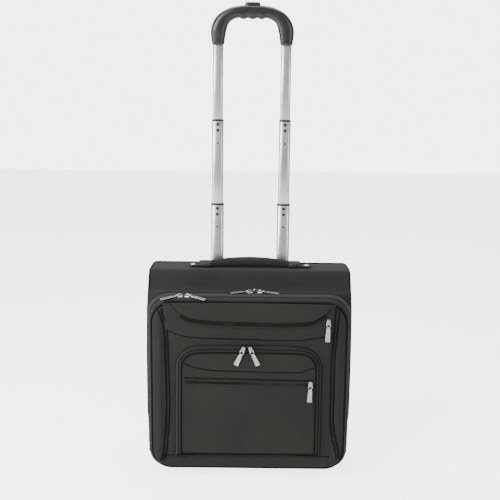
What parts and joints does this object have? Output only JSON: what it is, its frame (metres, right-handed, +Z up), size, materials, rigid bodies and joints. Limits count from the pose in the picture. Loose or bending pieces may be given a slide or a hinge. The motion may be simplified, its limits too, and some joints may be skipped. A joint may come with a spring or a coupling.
{
  "type": "pilot rolling flight case",
  "caption": "Soft-sided upright wheeled case with a stepped top, zipped front organiser with pockets, fabric carry handle and a telescopic two-tube pull handle with push-button grip",
  "frame": {"origin": "on the floor, at the middle of the case's width and depth", "axes": "+X to the case's right as seen from the front, +Y to its back, +Z up along the pull handle"},
  "size_m": [0.438, 0.2186, 1.0056],
  "materials": {
    "anodised_tube": "satin",
    "black_plastic": "satin",
    "black_rubber": "matte",
    "case_fabric": "matte",
    "chrome": "gloss",
    "steel": "satin",
    "tyre": "matte",
    "zip_tape": "matte"
  },
  "bodies": {
    "case": {"back_panel": "case_fabric", "side_panels": "case_fabric", "top_panel": "case_fabric", "base_panel": "black_plastic", "handle_bezel": "black_plastic", "outer_tubes": "anodised_tube", "tube_foot_bracket": "black_plastic", "wheel_housing_left": "black_plastic", "wheel_housing_right": "black_plastic", "wheel_axles": "steel", "front_feet": "black_plastic", "skid_rails": "black_plastic", "carry_handle_mounts": "black_plastic", "mount_studs": "chrome", "main_zip_case_half": "zip_tape"},
    "wheel_left": {"tyre_left": "tyre", "hub_left": "black_plastic"},
    "wheel_right": {"tyre_right": "tyre", "hub_right": "black_plastic"},
    "carry_handle": {"carry_handle_grip": "case_fabric", "carry_handle_strap": "case_fabric"},
    "lower_stage": {"lower_stage_tubes": "anodised_tube", "lower_stage_fittings": "black_plastic"},
    "middle_stage": {"middle_stage_tubes": "anodised_tube", "middle_stage_fittings": "black_plastic"},
    "upper_stage": {"upper_stage_tubes": "anodised_tube", "upper_stage_plugs": "black_plastic", "grip_front_shell": "black_plastic", "grip_rear_shell": "black_plastic", "grip_screws": "steel"},
    "button": {"release_button": "black_plastic", "release_yoke": "black_plastic", "release_springs": "steel"},
    "lock_pin_left": {"lock_pin_left": "steel"},
    "lock_pin_right": {"lock_pin_right": "steel"},
    "lid": {"lid_gusset": "case_fabric", "divider_panel": "case_fabric", "lid_zip_halves": "zip_tape"},
    "front_panel": {"front_board": "case_fabric", "front_gusset": "case_fabric", "front_piping": "black_rubber", "front_zips": "zip_tape", "upper_pocket": "case_fabric", "lower_pocket": "case_fabric"},
    "slider_main_left": {"slider_main_left": "chrome"},
    "pull_main_left": {"pull_main_left": "chrome"},
    "slider_main_right": {"slider_main_right": "chrome"},
    "pull_main_right": {"pull_main_right": "chrome"},
    "slider_organiser_left": {"slider_organiser_left": "chrome"},
    "pull_organiser_left": {"pull_organiser_left": "chrome"},
    "slider_organiser_right": {"slider_organiser_right": "chrome"},
    "pull_organiser_right": {"pull_organiser_right": "chrome"},
    "slider_upper_pocket": {"slider_upper_pocket": "chrome"},
    "pull_upper_pocket": {"pull_upper_pocket": "chrome"},
    "slider_lower_pocket_left": {"slider_lower_pocket_left": "chrome"},
    "pull_lower_pocket_left": {"pull_lower_pocket_left": "chrome"},
    "slider_lower_pocket_right": {"slider_lower_pocket_right": "chrome"},
    "pull_lower_pocket_right": {"pull_lower_pocket_right": "chrome"},
    "slider_welt": {"slider_welt": "chrome"},
    "pull_welt": {"pull_welt": "chrome"}
  },
  "joints": [
    {"name": "wheel_left_spin", "type": "hinge", "parent": "case", "child": "wheel_left", "pos_m": [-0.196, 0.071, 0.0375], "axis": [1, 0, 0], "continuous": true},
    {"name": "wheel_right_spin", "type": "hinge", "parent": "case", "child": "wheel_right", "pos_m": [0.196, 0.071, 0.0375], "axis": [1, 0, 0], "continuous": true},
    {"name": "carry_handle_lift", "type": "slide", "parent": "case", "child": "carry_handle", "axis": [0, 0, 1], "range_m": [0, 0.012], "deforming": ["carry_handle_strap"]},
    {"name": "lower_stage_slide", "type": "slide", "parent": "case", "child": "lower_stage", "axis": [0, 0, 1], "range_m": [-0.127, 0]},
    {"name": "middle_stage_slide", "type": "slide", "parent": "lower_stage", "child": "middle_stage", "axis": [0, 0, 1], "range_m": [-0.1805, 0]},
    {"name": "upper_stage_slide", "type": "slide", "parent": "middle_stage", "child": "upper_stage", "axis": [0, 0, 1], "range_m": [-0.1585, 0]},
    {"name": "button_press", "type": "slide", "parent": "upper_stage", "child": "button", "axis": [0, 0, -1], "range_m": [0, 0.004], "stiffness_N_per_m": 400, "springref_m": -0.004, "deforming": ["release_springs"]},
    {"name": "lock_pin_left_slide", "type": "slide", "parent": "upper_stage", "child": "lock_pin_left", "axis": [-1, 0, 0], "range_m": [0, 0.003]},
    {"name": "lock_pin_right_slide", "type": "slide", "parent": "upper_stage", "child": "lock_pin_right", "axis": [1, 0, 0], "range_m": [0, 0.003]},
    {"name": "lid_hinge", "type": "hinge", "parent": "case", "child": "lid", "pos_m": [0, -0.031, 0.0214], "axis": [1, 0, 0], "range_deg": [0, 90]},
    {"name": "front_panel_hinge", "type": "hinge", "parent": "lid", "child": "front_panel", "pos_m": [0, -0.073, 0.0214], "axis": [1, 0, 0], "range_deg": [0, 60]},
    {"name": "slider_main_left_run", "type": "slide", "parent": "case", "child": "slider_main_left", "axis": [-1, 0, 0], "range_m": [0, 0.15]},
    {"name": "pull_main_left_swing", "type": "hinge", "parent": "slider_main_left", "child": "pull_main_left", "pos_m": [-0.0013, -0.031, 0.3991], "axis": [0, 1, 0], "range_deg": [0, 165]},
    {"name": "slider_main_right_run", "type": "slide", "parent": "case", "child": "slider_main_right", "axis": [1, 0, 0], "range_m": [0, 0.13]},
    {"name": "pull_main_right_swing", "type": "hinge", "parent": "slider_main_right", "child": "pull_main_right", "pos_m": [0.0244, -0.031, 0.3991], "axis": [0, -1, 0], "range_deg": [0, 165]},
    {"name": "slider_organiser_left_run", "type": "slide", "parent": "lid", "child": "slider_organiser_left", "axis": [-1, 0, 0], "range_m": [0, 0.018]},
    {"name": "pull_organiser_left_swing", "type": "hinge", "parent": "slider_organiser_left", "child": "pull_organiser_left", "pos_m": [-0.1468, -0.073, 0.3991], "axis": [0, 1, 0], "range_deg": [0, 165]},
    {"name": "slider_organiser_right_run", "type": "slide", "parent": "lid", "child": "slider_organiser_right", "axis": [1, 0, 0], "range_m": [0, 0.28]},
    {"name": "pull_organiser_right_swing", "type": "hinge", "parent": "slider_organiser_right", "child": "pull_organiser_right", "pos_m": [-0.1269, -0.073, 0.3991], "axis": [0, -1, 0], "range_deg": [0, 165]},
    {"name": "slider_upper_pocket_run", "type": "slide", "parent": "front_panel", "child": "slider_upper_pocket", "axis": [-1, 0, 0], "range_m": [0, 0.3]},
    {"name": "pull_upper_pocket_swing", "type": "hinge", "parent": "slider_upper_pocket", "child": "pull_upper_pocket", "pos_m": [0.15794, -0.101, 0.3472], "axis": [-0.9994, 0, 0.0349], "range_deg": [0, 165]},
    {"name": "slider_lower_pocket_left_run", "type": "slide", "parent": "front_panel", "child": "slider_lower_pocket_left", "axis": [-1, 0, 0], "range_m": [0, 0.1]},
    {"name": "pull_lower_pocket_left_swing", "type": "hinge", "parent": "slider_lower_pocket_left", "child": "pull_lower_pocket_left", "pos_m": [-0.01253, -0.108, 0.28728], "axis": [-0.9563, 0, 0.2924], "range_deg": [0, 165]},
    {"name": "slider_lower_pocket_right_run", "type": "slide", "parent": "front_panel", "child": "slider_lower_pocket_right", "axis": [1, 0, 0], "range_m": [0, 0.105]},
    {"name": "pull_lower_pocket_right_swing", "type": "hinge", "parent": "slider_lower_pocket_right", "child": "pull_lower_pocket_right", "pos_m": [0.00453, -0.108, 0.28728], "axis": [-0.9563, 0, -0.2924], "range_deg": [0, 165]},
    {"name": "slider_welt_run", "type": "slide", "parent": "front_panel", "child": "slider_welt", "axis": [-1, 0, 0], "range_m": [0, 0.255]},
    {"name": "pull_welt_swing", "type": "hinge", "parent": "slider_welt", "child": "pull_welt", "pos_m": [0.12894, -0.108, 0.2182], "axis": [-0.9994, 0, 0.0349], "range_deg": [0, 165]}
  ],
  "couplings": [
    {"joint": "lock_pin_left_slide", "follows": "button_press", "ratio": 0.75},
    {"joint": "lock_pin_right_slide", "follows": "button_press", "ratio": 0.75}
  ]
}
